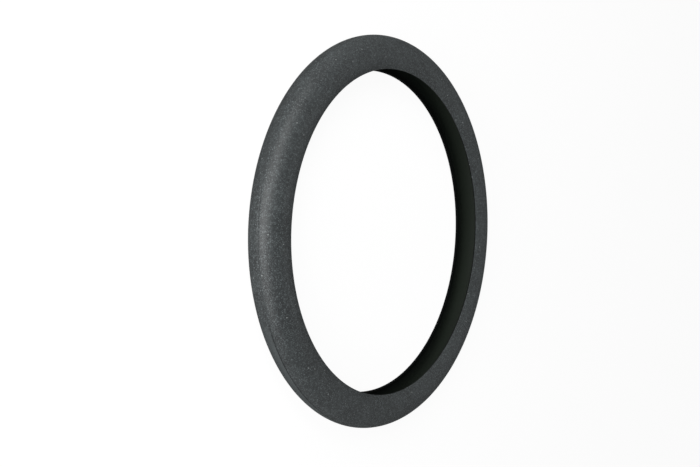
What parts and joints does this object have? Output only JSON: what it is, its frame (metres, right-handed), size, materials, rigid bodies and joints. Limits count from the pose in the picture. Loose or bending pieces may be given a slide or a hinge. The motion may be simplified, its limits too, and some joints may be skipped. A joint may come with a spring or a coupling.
{
  "type": "steering wheel cover",
  "caption": "One-piece slip-on steering wheel cover: a flexible moulded ring with a C-shaped section, grained like leather outside and smooth inside, that grips the wheel's rim.",
  "frame": {"origin": "centre of the ring, halfway through its width", "axes": "+Z along the ring's axis, out of the front face, which is the side that faces the driver on a wheel; X and Y lie in the plane of the ring, and +Y is up in the picture"},
  "size_m": [0.38, 0.38, 0.0336],
  "materials": {
    "moulded_rubber": "soft charcoal rubber, semi-matt, with a fine leather grain moulded into the outside and a smooth black channel inside"
  },
  "bodies": {
    "root": {"wheel_cover": "moulded_rubber"}
  },
  "joints": []
}
